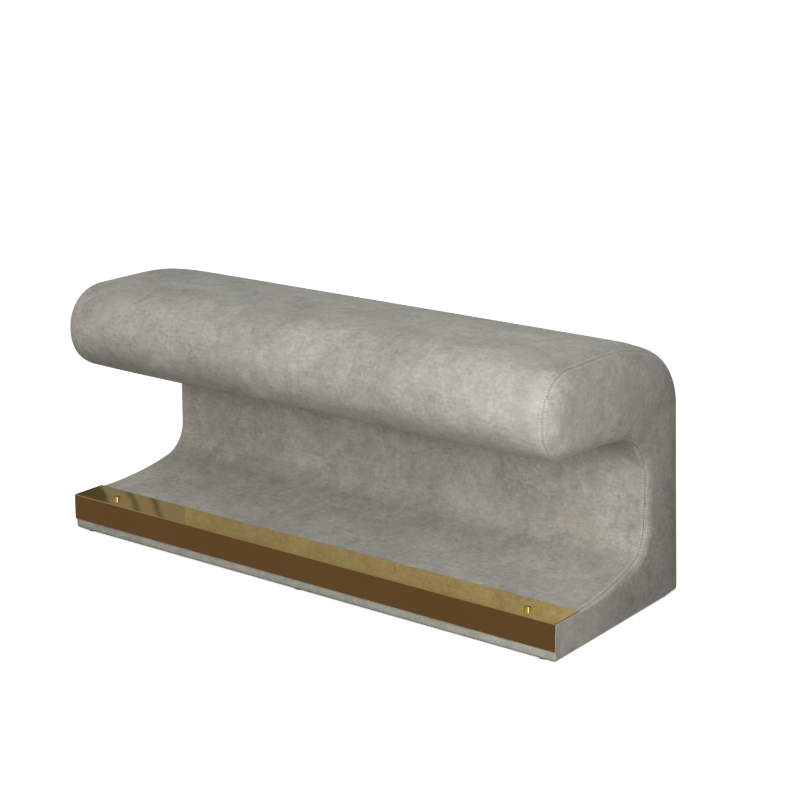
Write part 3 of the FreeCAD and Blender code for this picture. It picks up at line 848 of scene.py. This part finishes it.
def polished_brass(name, satin):
    """Polished brass with a slow waviness and a trace of hairlines.

    A satin sheet is a little duller on its upper face.
    """
    material, tree, shader = start_finish(name)
    place = add(tree, "TexCoord").outputs["Object"]
    tarnish = noise(tree, place, 14.0, detail=3.0)
    paint(tree, shader, tarnish, (0.3, (0.94, 0.69, 0.245)), (0.7, (0.98, 0.74, 0.29)))
    lines = noise(tree, stretch(tree, place, (3.0, 900.0, 900.0)), 1.0)
    tree.links.new(ranged(tree, lines, 0.015, 0.045), shader.inputs["Roughness"])
    shader.inputs["Metallic"].default_value = 1.0
    if satin:
        level = add(tree, "SeparateXYZ", {0: place}).outputs["Z"]
        bare = ranged(tree, level, 1.0, 0.9, trim_high.z - satin_depth, trim_high.z)
        tree.links.new(bare, shader.inputs["Metallic"])
    waves = noise(tree, place, 7.0, detail=1.0)
    relief(tree, shader, waves, 0.0003)
    return material


dress(polished_brass("brass_sheet", True), "brass_trim")
dress(polished_brass("brass_screw", False), "trim_screws")


# Underside
# A black non-woven dust cover closes the bottom, and six low plastic glides are nailed
# up through the turned-under leather.

def black_plastic():
    """Satin black plastic with a fine moulded grain."""
    material, tree, shader = start_finish("black_plastic")
    place = add(tree, "TexCoord").outputs["Object"]
    grain = noise(tree, place, 1200.0)
    paint(tree, shader, grain, (0.3, (0.012, 0.012, 0.013)), (0.7, (0.03, 0.03, 0.032)))
    shader.inputs["Roughness"].default_value = 0.5
    relief(tree, shader, grain, 0.0001)
    return material


dress(black_plastic(), "foot_glides")


def dust_cloth():
    """Black non-woven cloth: matted fibres with pressed dots."""
    material, tree, shader = start_finish("dust_cloth")
    place = add(tree, "TexCoord").outputs["Object"]
    fibres = noise(tree, place, 700.0, detail=6.0, roughness=0.7)
    dots = add(tree, "TexVoronoi", {"Vector": place, "Scale": 350.0}).outputs["Distance"]
    tone = total(tree, (fibres, 0.6), (dots, 0.4))
    paint(tree, shader, tone, (0.3, (0.008, 0.008, 0.008)), (0.7, (0.035, 0.034, 0.034)))
    shader.inputs["Roughness"].default_value = 0.95
    relief(tree, shader, tone, 0.0003)
    return material


dust_low, dust_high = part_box("dust_cover")
dust_sag = 0.0006
dust_rows, dust_columns = 24, 60


def dust_sheet():
    """A flat sheet that sags a little between the staples: a bump of sines in both directions."""
    u, v = np.meshgrid(np.linspace(0, 1, dust_columns + 1), np.linspace(0, 1, dust_rows + 1))
    x = dust_low.x + (dust_high.x - dust_low.x) * u
    y = dust_low.y + (dust_high.y - dust_low.y) * v
    z = dust_high.z - dust_sag * np.sin(np.pi * u) * np.sin(np.pi * v)
    return np.stack([x, y, z], axis=-1)


dust_places = dust_sheet()
mesh = bpy.data.meshes.new("dust_sheet")
mesh.from_pydata(dust_places.reshape(-1, 3).tolist(), [], grid_faces(numbered(dust_places.shape)).tolist())
mesh.materials.append(dust_cloth())
dust = bpy.data.objects.new("dust_sheet", mesh)
bpy.context.scene.collection.objects.link(dust)
thickness = dust.modifiers.new("thickness", "SOLIDIFY")
thickness.thickness = dust_high.z - dust_low.z
thickness.offset = -1.0
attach(dust, "root")
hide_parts("dust_cover")


# Floor, light and camera
# A wide pale floor that only the camera sees, three softboxes, soft lights from above and
# behind, and a dim room with windows behind and beside, which the brass mirrors.

def pale_floor():
    """Matt off-white with a very faint mottling."""
    material, tree, shader = start_finish("pale_floor")
    place = add(tree, "TexCoord").outputs["Object"]
    cloud = noise(tree, place, 2.0)
    paint(tree, shader, cloud, (0.3, (0.90, 0.90, 0.90)), (0.7, (0.92, 0.92, 0.92)))
    shader.inputs["Roughness"].default_value = 1.0
    shader.inputs["Specular IOR Level"].default_value = 0.0
    shader.inputs["Emission Color"].default_value = (1.0, 1.0, 1.0, 1.0)
    shader.inputs["Emission Strength"].default_value = 0.6
    return material


floor_half = 40.0
mesh = bpy.data.meshes.new("floor")
corners = floor_half * np.array([[-1, -1, 0], [1, -1, 0], [1, 1, 0], [-1, 1, 0]])
mesh.from_pydata(corners.tolist(), [], [[0, 1, 2, 3]])
mesh.materials.append(pale_floor())
floor = bpy.data.objects.new("floor", mesh)
bpy.context.scene.collection.objects.link(floor)
floor.visible_diffuse = False
floor.visible_glossy = False


def lamp(name, kind, energy, colour, place, lean, turned):
    """A light that leans down from level by an angle and faces +Y, turned about Z.

    The brass doesn't mirror it, and the camera doesn't see it.
    """
    light = bpy.data.lights.new(name, kind)
    light.energy = energy
    light.color = colour
    light_object = bpy.data.objects.new(name, light)
    light_object.location = place
    light_object.rotation_euler = (np.radians(90.0 - lean), 0.0, np.radians(turned))
    light_object.visible_glossy = False
    light_object.visible_camera = False
    bpy.context.scene.collection.objects.link(light_object)
    return light


def softbox(name, energy, colour, place, turned, width, height):
    """A level lamp with a wide face."""
    light = lamp(name, "AREA", energy, colour, place, 0.0, turned)
    light.shape = "RECTANGLE"
    light.size, light.size_y = width, height


softbox("front_softbox", 25.0, (1.0, 0.965, 0.92), (0.2, -1.6, 0.75), 0.0, 3.2, 0.5)
softbox("side_softbox", 13.0, (1.0, 0.97, 0.925), (1.2, -0.8, 0.9), 40.0, 0.8, 0.8)
softbox("low_softbox", 1.0, (1.0, 0.97, 0.92), (0.75, -0.42, 0.12), 60.0, 0.3, 0.4)
sun = lamp("sky_light", "SUN", 0.82, (0.72, 0.86, 1.0), (0.0, -1.0, 2.0), 60.0, 0.0)
rim = lamp("back_light", "SUN", 1.8, (1.0, 1.0, 1.0), (-1.2, 1.6, 0.5), 4.0, 217.0)
sun.angle = rim.angle = np.radians(40.0)


def towards(tree, direction, way):
    """How far a direction points along a way: their dot product."""
    return add(tree, "VectorMath", {0: direction, 1: way}, operation="DOT_PRODUCT").outputs["Value"]


def mirrored_room(tree, direction, parts, above):
    """What the brass mirrors: a dim room, paler in front, with two windows and a brown floor.

    The window behind is a row of panes and bars along the bearing, in radians from +X, slanted by
    its height, with night past its end. The one beside is a bright stretch of bearings.
    """
    pane, bar, night, glare = (0.17, 0.15, 0.14), (0.03, 0.03, 0.03), (0.0, 0.0, 0.0), (2.5, 2.5, 2.5)
    bearing = add(tree, "Math", {0: parts["Y"], 1: parts["X"]}, operation="ARCTAN2").outputs[0]
    behind = ranged(tree, total(tree, (parts["Z"], 0.35), (bearing, 1.0)), 0.0, 1.0, 2.41, 2.51)
    window = shades(tree, behind, (0.0, bar), (0.1, pane), (0.41, pane), (0.42, bar), (0.44, bar),
                    (0.45, pane), (0.52, pane), (0.53, bar), (0.55, bar), (0.56, pane), (0.66, pane),
                    (0.675, night))
    front = ranged(tree, towards(tree, direction, (0.25, -0.75, 0.6)), 0.0, 1.0, -0.5, 0.8)
    room = mixed(tree, front, window, (0.38, 0.38, 0.38, 1.0))
    beside = ranged(tree, bearing, 0.0, 1.0, -0.9, -0.2)
    side_window = shades(tree, beside, (0.2, night), (0.3, glare), (0.7, glare), (0.8, night))
    room = mixed(tree, 1.0, room, side_window, blend_type="ADD")
    return mixed(tree, above, (0.115, 0.082, 0.074, 1.0), room)


def soft_glow(tree, direction, above):
    """Even light from above the horizon, shaded behind the near end."""
    open_sky = ranged(tree, towards(tree, direction, (0.77, 0.64, 0.0)), 1.0, 0.05, 0.0, 0.7)
    share = add(tree, "Math", {0: above, 1: open_sky}, operation="MULTIPLY").outputs[0]
    return shades(tree, share, (0.0, (0.0, 0.0, 0.0)), (1.0, (0.41, 0.39, 0.31)))


def studio():
    """A world that is white to the camera, a room to the brass and a soft glow to all else."""
    world = bpy.data.worlds.new("studio")
    world.use_nodes = True
    tree = world.node_tree
    direction = add(tree, "TexCoord").outputs["Generated"]
    parts = add(tree, "SeparateXYZ", {0: direction}).outputs
    above = ranged(tree, parts["Z"], 0.0, 1.0, -0.04, 0.04)
    glow, room = soft_glow(tree, direction, above), mirrored_room(tree, direction, parts, above)
    paths = add(tree, "LightPath").outputs
    cast = mixed(tree, paths["Is Glossy Ray"], glow, room)
    seen = mixed(tree, paths["Is Camera Ray"], cast, (1.0, 1.0, 1.0, 1.0))
    tree.links.new(seen, tree.nodes["Background"].inputs["Color"])
    return world


bpy.context.scene.world = studio()
bpy.context.scene.view_settings.view_transform = "Standard"

camera_tilt, camera_bearing = 12.36, 36.75
camera = bpy.data.cameras.new("camera")
camera.sensor_width = 36.0
camera.lens = 89.334
camera.shift_y = -0.15
camera.clip_end = 200.0
camera_object = bpy.data.objects.new("camera", camera)
camera_object.location = (1.83956, -2.36125, 1.11193)
camera_object.rotation_euler = (np.radians(90.0 - camera_tilt), 0.0, np.radians(camera_bearing))
bpy.context.scene.collection.objects.link(camera_object)
bpy.context.scene.camera = camera_object

bpy.context.view_layer.update()
